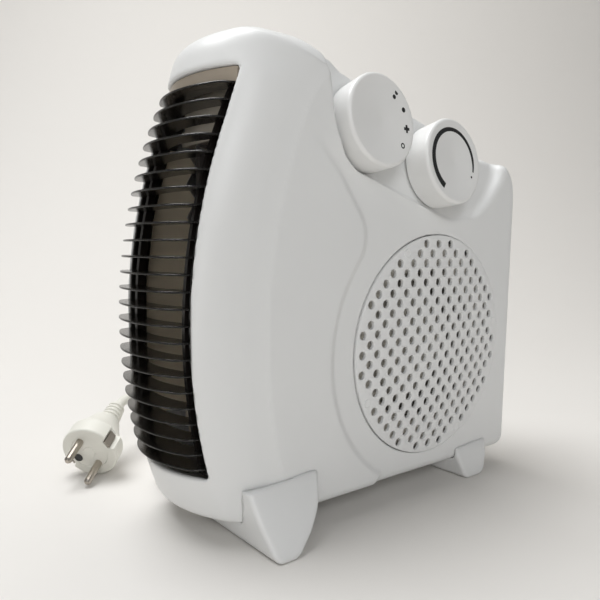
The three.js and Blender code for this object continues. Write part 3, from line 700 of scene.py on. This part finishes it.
def make_intake_grille():
    """The round cover, cut from a flat bevelled curve and then domed, and its blank places."""
    curve = bpy.data.curves.new("intake", "CURVE")
    curve.dimensions = "2D"
    curve.fill_mode = "BOTH"
    curve.extrude = 0.7 * MM
    curve.bevel_depth = 0.4 * MM
    curve.bevel_resolution = 2

    def ring(u, v, radius, count):
        spline = curve.splines.new("POLY")
        spline.points.add(count - 1)
        for i, point in enumerate(spline.points):
            angle = 2 * math.pi * i / count
            point.co = ((u + radius * math.cos(angle)) * MM, (v + radius * math.sin(angle)) * MM, 0, 1)
        spline.use_cyclic_u = True

    ring(0, 0, INTAKE_RADIUS - 0.45, 120)
    open_holes, blank_holes = hole_centres()
    for u, v in open_holes:
        ring(u, v, HOLE_RADIUS + 0.35, 14)
    flat = bpy.data.objects.new("intake_flat", curve)
    bpy.context.collection.objects.link(flat)
    mesh = bpy.data.meshes.new_from_object(flat.evaluated_get(bpy.context.evaluated_depsgraph_get()))
    bpy.data.objects.remove(flat)
    work = bmesh.new()
    work.from_mesh(mesh)
    bmesh.ops.remove_doubles(work, verts=work.verts, dist=1e-6)
    for vertex in work.verts:
        u, v, w = vertex.co / MM
        dome = float(dome_height(math.hypot(u, v)))
        vertex.co = Vector((FLAT_X - 0.2 + w + dome, HUB[1] + u, HUB[2] + v)) * MM
    bmesh.ops.recalc_face_normals(work, faces=work.faces)
    work.to_mesh(mesh)
    work.free()
    smooth(mesh, 50)
    grille = add_object("intake_shell", mesh)
    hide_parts("intake_grille")
    studs = []
    for u, v in blank_holes:
        top = FLAT_X + 0.9 + float(dome_height(math.hypot(u, v)))
        profile = [(0, 0.1), (1.9, 0.1), (2.1, 0.22), (2.5, 0.22), (2.7, -0.3), (0, -0.3)]
        points, faces = revolve(profile[::-1], 24)
        turn = Matrix.Translation((top, HUB[1] + u, HUB[2] + v)) @ Matrix.Rotation(math.pi / 2, 4, "Y")
        studs.append((placed(points, turn), faces))
    rings = add_object("intake_blanks", smooth(joined("intake_blanks", studs), 30))
    return grille, rings


# ---------------------------------------------------------------- knobs
def knob_matrix(low, high):
    """The frame on the panel under a knob, from the box of its shaft: local Z points out of the panel."""
    y = (low[1] + high[1]) / 2
    z = (low[2] + high[2]) / 2 - SHAFT_RISE * math.sin(PANEL_TILT)
    x = (PANEL_OFFSET - z * math.sin(PANEL_TILT)) / math.cos(PANEL_TILT)
    out = Vector((math.cos(PANEL_TILT), 0, math.sin(PANEL_TILT)))
    across = Vector((0, 1, 0))
    up = out.cross(across)
    turn = Matrix((across, up, out)).transposed().to_4x4()
    return Matrix.Translation((x, y, z)) @ turn


def knob_body(name, node, matrix, body):
    """A knob: a turned disc with a rounded rim, a slightly dished face and a blind bore for its shaft."""
    radius, top = KNOB_RADIUS, KNOB_TOP
    edge = arc(radius - 2.0, top - 2.0, 2.0, 0, 90, 8)
    dish = [(radius - 4, top - KNOB_DISH), (1.5, top - KNOB_DISH), (0, top - KNOB_DISH - 0.3)]
    skirt = [(radius - 1.5, 1.0), (radius - 0.7, 1.6)]
    profile = [(0, 9.3), (3.6, 9.3), (3.6, 1.3), *skirt, *edge, *dish]
    points, faces = revolve(profile, 96)
    mesh = smooth(mesh_of(name, placed(points, matrix), faces), 45)
    piece = add_object(name, mesh, body)
    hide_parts(node)
    return piece


def stroke(centres, widths, height):
    """A flat printed stroke along (radius, degrees) points, with a width at each."""
    points, faces = [], []
    for (radius, degrees), width in zip(centres, widths):
        angle = math.radians(degrees)
        for r in (radius - width / 2, radius + width / 2):
            points.append((r * math.cos(angle), r * math.sin(angle), height))
    for i in range(len(centres) - 1):
        faces.append((2 * i, 2 * i + 1, 2 * i + 3, 2 * i + 2))
    return points, faces


def spot(u, v, radius, height, inner=0.0):
    """A flat printed dot, or a ring when it has an inner radius."""
    points, faces = [], []
    count = 28
    for i in range(count):
        angle = 2 * math.pi * i / count
        for r in (inner, radius):
            points.append((u + r * math.cos(angle), v + r * math.sin(angle), height))
    for i in range(count):
        j = (i + 1) % count
        faces.append((2 * i, 2 * i + 1, 2 * j + 1, 2 * j))
    return points, faces


def bar(u, v, half_u, half_v, height):
    """A flat printed rectangle."""
    signs = ((-1, -1), (1, -1), (1, 1), (-1, 1))
    return [(u + a * half_u, v + b * half_v, height) for a, b in signs], [(0, 1, 2, 3)]


def mark_piece(name, parts, matrix, body):
    """Printed marks that turn with their knob."""
    mesh = joined(name, [(placed(points, matrix), faces) for points, faces in parts])
    return add_object(name, mesh, body)


def make_knobs():
    """Both knobs with their marks: four icons on one, a tapering arc and a dot on the other."""
    mode = knob_matrix(mode_low, mode_high)
    warm = knob_matrix(warm_low, warm_high)
    knobs = [
        knob_body("function_knob_shell", "function_knob", mode, "function_control"),
        knob_body("thermostat_knob_shell", "thermostat_knob", warm, "thermostat_control"),
    ]
    height = KNOB_TOP - KNOB_DISH + 0.05
    reach = 18.0  # the icons' distance from the knob's middle
    symbols = []
    for place, degrees in enumerate((51.5, 23, -8.5, -41)):
        u, v = reach * math.cos(math.radians(degrees)), reach * math.sin(math.radians(degrees))
        if place == 0:
            symbols += [spot(u + 1.0, v + 1.2, 1.2, height), spot(u - 1.0, v - 1.2, 1.2, height)]
        elif place == 1:
            symbols.append(spot(u, v, 1.35, height))
        elif place == 2:
            symbols += [bar(u, v, 2.1, 0.75, height), bar(u, v, 0.75, 2.1, height + 0.01)]
        else:
            symbols.append(spot(u, v, 1.5, height, inner=0.8))
    marks = [mark_piece("function_marks", symbols, mode, "function_control")]
    sweep = np.linspace(235, -17, 80)
    widths = np.interp(sweep, [-17, 7, 90, 180, 235], [1.1, 2.0, 2.2, 3.1, 3.4])
    parts = [stroke([(17.6, a) for a in sweep], widths, height)]
    angle = math.radians(-28)
    parts.append(spot(17.0 * math.cos(angle), 17.0 * math.sin(angle), 0.7, height))
    marks.append(mark_piece("thermostat_marks", parts, warm, "thermostat_control"))
    return knobs, marks


# ---------------------------------------------------------------- mains lead
def cord_route():
    """The lead's centreline: out of the gland, round the coil, and forward to the plug."""
    out = [
        GLAND,
        (-26, 147, 32),
        (-26, 162.6, 31.8),
        (-26.3, 174, 29.8),
        (-28.2, 185, 25),
        (-32.5, 195.5, 18.2),
        (-40, 203.6, 11.5),
        (-50.5, 208.2, 6.6),
        (-62, 209, 4.2),
        (-74, 207.8, 3.7),
        (-86.2, 206.7, 3.7),
        (-100, 206.2, 3.7),
    ]
    coil = []
    per_turn = 18
    steps = int(COIL_TURNS * per_turn)
    for i in range(steps + 1):
        turn = COIL_TURNS * i / steps
        angle = math.pi / 2 + 2 * math.pi * turn
        middle = COIL_TURNS / 2
        radius = COIL_MEAN_RADIUS + CORD_DIAMETER * (abs(turn - middle) - middle / 2)
        layer = float(step_between(middle - 0.13, middle + 0.13, turn))
        x = COIL_CENTRE[0] + radius * math.cos(angle)
        y = COIL_CENTRE[1] + radius * math.sin(angle)
        coil.append((x, y, 3.65 + 7.05 * layer))
    back = [
        (-161.1, 144, 10.6),
        (-161.2, 131, 10.1),
        (-161.6, 119, 8),
        (-162, 106, 5.2),
        (-162.2, 92, 3.9),
        (-161.8, 70, 3.7),
        (-160.5, 47, 3.7),
        (-158.5, 24, 4.4),
        (-156, 3, 8.5),
        (-152.5, -17, 15.5),
        (-148, -36, 25),
        (-143, -53, 33),
        (-137, -67.5, 37.5),
        (-131, -78.3, 37.8),
        (-124.6, -86.6, 35.2),
    ]
    return out + coil + back


def plug_matrix():
    """The frame on the plug's face: local Z points along the pins, local X from pin to pin."""
    across = (PLUG_PINS - PLUG_AIM * PLUG_PINS.dot(PLUG_AIM)).normalized()
    turn = Matrix((across, PLUG_AIM.cross(across), PLUG_AIM)).transposed().to_4x4()
    return Matrix.Translation(PLUG_FACE) @ turn


def make_cord():
    """The lead as one round curve through the points of its route."""
    curve = bpy.data.curves.new("mains_lead", "CURVE")
    curve.dimensions = "3D"
    curve.bevel_depth = 1
    curve.bevel_resolution = 5
    curve.resolution_u = 6
    route = cord_route()
    spline = curve.splines.new("BEZIER")
    spline.bezier_points.add(len(route) - 1)
    for point, place in zip(spline.bezier_points, route):
        point.co = Vector(place) * MM
        point.radius = CORD_DIAMETER / 2 * MM
        point.handle_left_type = point.handle_right_type = "AUTO"
    lead = add_object("mains_lead", curve)
    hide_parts("cord_lead", "cord_tail", "cord_coil")
    return lead


def make_plug():
    """The moulded plug: a ribbed neck, a cone and a round head with a notch on either side, and a black
    disc of painted shade where the earth socket's hole is.
    """
    matrix = plug_matrix()
    neck = []
    steps = [(-0.9, 0), (0, 0.5), (0.1, 2.3), (-0.8, 2.8), (-0.9, 3.4)]
    for i in range(4):
        neck += [(5.9 + 0.35 * i + out, -49.8 + i * 3.8 + along) for out, along in steps]
    profile = [
        (0, -44),
        (3.7, -44),
        (3.7, -50.2),
        (4.9, -50.2),
        *neck,
        (6.9, -34.4),
        (8.6, -33),
        (10.6, -30.5),
        (16.4, -14.6),
        *arc(17.0, -11.6, 1.5, -60, 0, 4),
        (18.5, -1.9),
        *arc(17.0, -1.5, 1.5, 0, 90, 6),
        (12.6, 0),
        (12.2, -0.5),
        (4.2, -0.5),
        (3.8, 0),
        (0, 0),
    ]
    points, faces = revolve(profile, 72)
    notch = 14.4
    shaped = []
    for x, y, z in points:
        radius = math.hypot(x, y)
        if radius > notch and -13 < z < 1:
            side = abs(abs(math.atan2(y, x)) - math.pi / 2)
            if side < 0.2:
                x, y = x * notch / radius, y * notch / radius
        y *= 1 - 0.26 * float(step_between(-13, -17, z) * step_between(-34, -31, z))
        shaped.append((x, y, z))
    body = smooth(mesh_of("plug_shell", placed(shaped, matrix), faces), 35)
    plug = add_object("plug_shell", body)
    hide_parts("plug_body")
    # the earth socket: a shallow disc with a raised rim on the plug's face, black as painted shade
    # standing for the depth of the hole
    points, faces = revolve([(2.9, 0), (2.9, 0.25), (2.4, 0.25), (2.3, -0.1), (0, -0.1)][::-1], 24)
    well = matrix @ Matrix.Translation((0, -9.8, -0.3))
    socket_shade_mesh = smooth(mesh_of("socket", placed(points, well), faces), 35)
    socket = add_object("earth_socket_shade", socket_shade_mesh)
    return plug, socket


def make_relief():
    """The ribbed sleeve round the lead where it leaves the housing."""
    ribs = []
    steps = [(-0.9, 0), (-0.9, 0.9), (0, 1.1), (0, 3.3)]
    for i in range(7):
        ribs += [(5.9 - 0.2 * i + out, 4.5 + i * 3.5 + along) for out, along in steps]
    profile = [(0, 0.2), (3.6, 0.2), (6.9, 0.2), (6.9, 1.6), (6.5, 2.2), (5.8, 2.6), *ribs]
    profile += [(4.2, 29.8), (3.4, 30), (0, 30)]
    points, faces = revolve(profile, 40)
    turn = Matrix.Translation((GLAND[0], REAR_Y - 0.3, GLAND[2])) @ Matrix.Rotation(-math.pi / 2, 4, "X")
    relief_mesh = smooth(mesh_of("relief", placed(points, turn), faces), 35)
    relief = add_object("relief_shell", relief_mesh)
    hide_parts("strain_relief")
    return relief


lead = make_cord()
plug, earth_socket_shade = make_plug()
relief = make_relief()
near_shell, far_shell = make_shells()
feet = make_feet()
outlet_fins, outlet_struts, outlet_flanges, outlet_brow = make_outlet_grille()
intake_shell, intake_blanks = make_intake_grille()
knob_shells, knob_marks = make_knobs()


# ---------------------------------------------------------------- materials
def finish(name, color, roughness, metallic=0.0, mottle=0.04, grain=900.0, bump=0.02, **sockets):
    """A moulded or machined finish: faint cloudiness in colour and gloss, and a fine surface grain."""
    material = bpy.data.materials.new(name)
    material.use_nodes = True
    nodes, links = material.node_tree.nodes, material.node_tree.links
    shader = nodes["Principled BSDF"]
    shader.inputs["Metallic"].default_value = metallic
    for socket, value in sockets.items():
        shader.inputs[socket.replace("_", " ").capitalize()].default_value = value
    place = nodes.new("ShaderNodeTexCoord")
    cloud = nodes.new("ShaderNodeTexNoise")
    cloud.inputs["Scale"].default_value = 28
    cloud.inputs["Detail"].default_value = 4
    links.new(place.outputs["Object"], cloud.inputs["Vector"])
    tint = nodes.new("ShaderNodeMix")
    tint.data_type = "RGBA"
    links.new(cloud.outputs["Fac"], tint.inputs["Factor"])
    tint.inputs[6].default_value = (*[c * (1 - mottle) for c in color], 1)
    tint.inputs[7].default_value = (*[min(1, c * (1 + mottle)) for c in color], 1)
    links.new(tint.outputs[2], shader.inputs["Base Color"])
    gloss = nodes.new("ShaderNodeMapRange")
    gloss.inputs["To Min"].default_value = roughness * 0.85
    gloss.inputs["To Max"].default_value = min(1, roughness * 1.15)
    links.new(cloud.outputs["Fac"], gloss.inputs["Value"])
    links.new(gloss.outputs["Result"], shader.inputs["Roughness"])
    texture = nodes.new("ShaderNodeTexNoise")
    texture.inputs["Scale"].default_value = grain
    texture.inputs["Detail"].default_value = 2
    links.new(place.outputs["Object"], texture.inputs["Vector"])
    relief_node = nodes.new("ShaderNodeBump")
    relief_node.inputs["Strength"].default_value = bump
    relief_node.inputs["Distance"].default_value = 0.0004
    links.new(texture.outputs["Fac"], relief_node.inputs["Height"])
    links.new(relief_node.outputs["Normal"], shader.inputs["Normal"])
    return material


def smoked(name, axis):
    """Smoked clear plastic for thin blades that lie across an axis: dark through their edges."""
    material = finish(name, (0.055, 0.045, 0.036), 0.2, mottle=0.06, bump=0.01)
    nodes, links = material.node_tree.nodes, material.node_tree.links
    shader = nodes["Principled BSDF"]
    shader.inputs["Transmission Weight"].default_value = 0.85
    shader.inputs["IOR"].default_value = 1.45
    shader.inputs["Specular IOR Level"].default_value = 0.35
    surface = nodes.new("ShaderNodeTexCoord")
    parts = nodes.new("ShaderNodeSeparateXYZ")
    links.new(surface.outputs["Normal"], parts.inputs["Vector"])
    square = nodes.new("ShaderNodeMath")
    square.operation = "MULTIPLY"
    links.new(parts.outputs[axis], square.inputs[0])
    links.new(parts.outputs[axis], square.inputs[1])
    tint = nodes.new("ShaderNodeMix")
    tint.data_type = "RGBA"
    tint.inputs[6].default_value = (0.006, 0.005, 0.005, 1)
    tint.inputs[7].default_value = (0.095, 0.085, 0.073, 1)
    links.new(square.outputs["Value"], tint.inputs["Factor"])
    links.new(tint.outputs[2], shader.inputs["Base Color"])
    return material


WHITE = finish("white_plastic", (0.78, 0.785, 0.78), 0.36, mottle=0.012, grain=1500, bump=0.03)
KNOB_WHITE = finish("knob_plastic", (0.80, 0.80, 0.79), 0.3, mottle=0.012, grain=1500, bump=0.02)
SMOKED_BLADE = smoked("smoked_blade", "Z")
SMOKED_FLANGE = smoked("smoked_flange", "X")
SMOKED_BAR = finish("smoked_bar", (0.012, 0.010, 0.009), 0.3, mottle=0.06, bump=0.01)
SMOKED_BROW = finish("smoked_brow", (0.40, 0.345, 0.28), 0.3, mottle=0.05, bump=0.01)
INK = finish("black_print", (0.010, 0.010, 0.011), 0.6, mottle=0.1)
MICA = finish("mica", (0.84, 0.74, 0.58), 0.55, mottle=0.2, grain=300, bump=0.15)
DUCT = finish("duct_plastic", (0.78, 0.75, 0.68), 0.5, mottle=0.03)
BLACK = finish("black_plastic", (0.02, 0.02, 0.021), 0.45, mottle=0.1)
CERAMIC = finish("ptc_ceramic", (0.10, 0.09, 0.085), 0.7, mottle=0.12, grain=600, bump=0.1)
CREAM = finish("cream_plastic", (0.72, 0.66, 0.56), 0.45, mottle=0.03)
ALUMINIUM = finish("aluminium", (0.66, 0.66, 0.67), 0.38, metallic=1, mottle=0.06, bump=0.05)
STEEL = finish("steel", (0.50, 0.51, 0.52), 0.33, metallic=1, mottle=0.08, bump=0.05)
COPPER = finish("copper", (0.55, 0.24, 0.12), 0.35, metallic=1, mottle=0.15, grain=500, bump=0.2)
BRASS = finish("brass", (0.55, 0.42, 0.20), 0.35, metallic=1, mottle=0.08)
NICKEL = finish("nickel", (0.46, 0.42, 0.37), 0.3, metallic=1, mottle=0.08, bump=0.02)
RUBBER = finish("rubber", (0.03, 0.03, 0.03), 0.8, mottle=0.12, grain=800, bump=0.1)
LEAD = finish("lead_plastic", (0.70, 0.69, 0.63), 0.42, mottle=0.03, bump=0.03)

NODE_FINISH = {
    "function_shaft": CREAM,
    "thermostat_shaft": BRASS,
    "rotary_switch": BLACK,
    "thermostat": CREAM,
    "bimetal_strip": BRASS,
    "heater_frame_top": CREAM,
    "heater_frame_bottom": CREAM,
    "near_mica_sheet": MICA,
    "far_mica_sheet": MICA,
    "thermal_cutout": BLACK,
    "air_duct": DUCT,
    "inlet_ring": DUCT,
    "blower_wheel": DUCT,
    "motor_shaft": STEEL,
    "motor_rotor": STEEL,
    "motor_stator": STEEL,
    "rear_winding": COPPER,
    "front_winding": COPPER,
    "rear_end_bell": ALUMINIUM,
    "front_end_bell": ALUMINIUM,
    "rear_bearing": BRASS,
    "front_bearing": BRASS,
    "motor_mount": STEEL,
    "cord_clamp": BLACK,
    "terminal_block": CREAM,
    "cord_tie": BLACK,
    "plug_pin_1": NICKEL,
    "plug_pin_2": NICKEL,
    "earth_clip_1": NICKEL,
    "earth_clip_2": NICKEL,
}
NODE_FINISH.update({f"ptc_bar_{i}": CERAMIC for i in range(1, 4)})
NODE_FINISH.update({f"fin_pack_{i}": ALUMINIUM for i in range(1, 5)})
NODE_FINISH.update({f"rest_pad_{i}": RUBBER for i in range(1, 5)})
NODE_FINISH.update({f"housing_screw_{i}": STEEL for i in range(1, 7)})


def dress(piece, material):
    piece.data.materials.clear()
    piece.data.materials.append(material)


def dress_node(node, material):
    """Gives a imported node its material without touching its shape."""
    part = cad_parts[node]
    if not part.material_slots:
        part.data.materials.append(material)
    for place in part.material_slots:
        place.link = "OBJECT"
        place.material = material


for piece in (near_shell, far_shell, *feet, intake_shell, intake_blanks):
    dress(piece, WHITE)
for piece in knob_shells:
    dress(piece, KNOB_WHITE)
for piece in knob_marks:
    dress(piece, INK)
dress(outlet_fins, SMOKED_BLADE)
dress(outlet_struts, SMOKED_BAR)
dress(outlet_flanges, SMOKED_FLANGE)
dress(outlet_brow, SMOKED_BROW)
for piece in (lead, relief, plug):
    dress(piece, LEAD)
# the earth socket's disc takes black plastic as painted shade for the inside of the hole
dress(earth_socket_shade, BLACK)
for node, material in NODE_FINISH.items():
    dress_node(node, material)


# ---------------------------------------------------------------- studio
def make_backdrop():
    """A pale sweep: floor, a broad curve and a wall behind the heater as the camera sees it."""
    away = Vector((-0.811, 0.585))
    across = Vector((0.585, 0.811))
    radius, distance, half_width = 1.3, 1.75, 5.0
    section = [(-4.0, 0.0), (distance - radius, 0.0)]
    for i in range(1, 17):
        angle = math.pi / 2 * i / 16
        section.append((distance - radius + radius * math.sin(angle), radius * (1 - math.cos(angle))))
    section.append((distance, 5.0))
    points = []
    for along, height in section:
        for side in (-half_width, half_width):
            flat = away * along + across * side
            points.append((flat.x, flat.y, height))
    faces = [(2 * i, 2 * i + 1, 2 * i + 3, 2 * i + 2) for i in range(len(section) - 1)]
    mesh = bpy.data.meshes.new("backdrop")
    mesh.from_pydata(points, [], faces)
    mesh.shade_smooth()
    backdrop = bpy.data.objects.new("backdrop", mesh)
    bpy.context.collection.objects.link(backdrop)
    paint = finish("backdrop_paint", (0.72, 0.70, 0.67), 0.75, mottle=0.01, grain=60, bump=0.01)
    mesh.materials.append(paint)


def soft_light(name, place, size, power, target=(0, 0, 0.12), color=(1, 1, 1)):
    """A round area light at a place, turned to its target."""
    data = bpy.data.lights.new(name, "AREA")
    data.shape = "DISK"
    data.size = size
    data.energy = power
    data.color = color
    light = bpy.data.objects.new(name, data)
    bpy.context.collection.objects.link(light)
    light.location = place
    light.rotation_mode = "QUATERNION"
    light.rotation_quaternion = (Vector(target) - Vector(place)).to_track_quat("-Z", "Y")


make_backdrop()
soft_light("key", (-0.55, -0.45, 1.95), 1.4, 36, color=(0.98, 0.99, 1.0))
soft_light("side_key", (1.3, -0.75, 1.0), 0.8, 7, color=(0.96, 0.98, 1.0))
soft_light("outlet_fill", (1.0, -1.2, 0.35), 0.5, 2.0, color=(1.0, 0.98, 0.95))
soft_light("side_fill", (1.4, 0.9, 0.7), 1.0, 0.6)
soft_light("wall_wash", (-0.5, 0.5, 2.4), 1.6, 12, target=(-1.6, 1.15, 1.0), color=(1.0, 0.98, 0.95))
world = bpy.data.worlds.new("studio")
bpy.context.scene.world = world
world.use_nodes = True
world.node_tree.nodes["Background"].inputs["Color"].default_value = (1.0, 0.985, 0.965, 1)
world.node_tree.nodes["Background"].inputs["Strength"].default_value = 0.17
bpy.context.scene.view_settings.view_transform = "Standard"

bpy.context.view_layer.update()
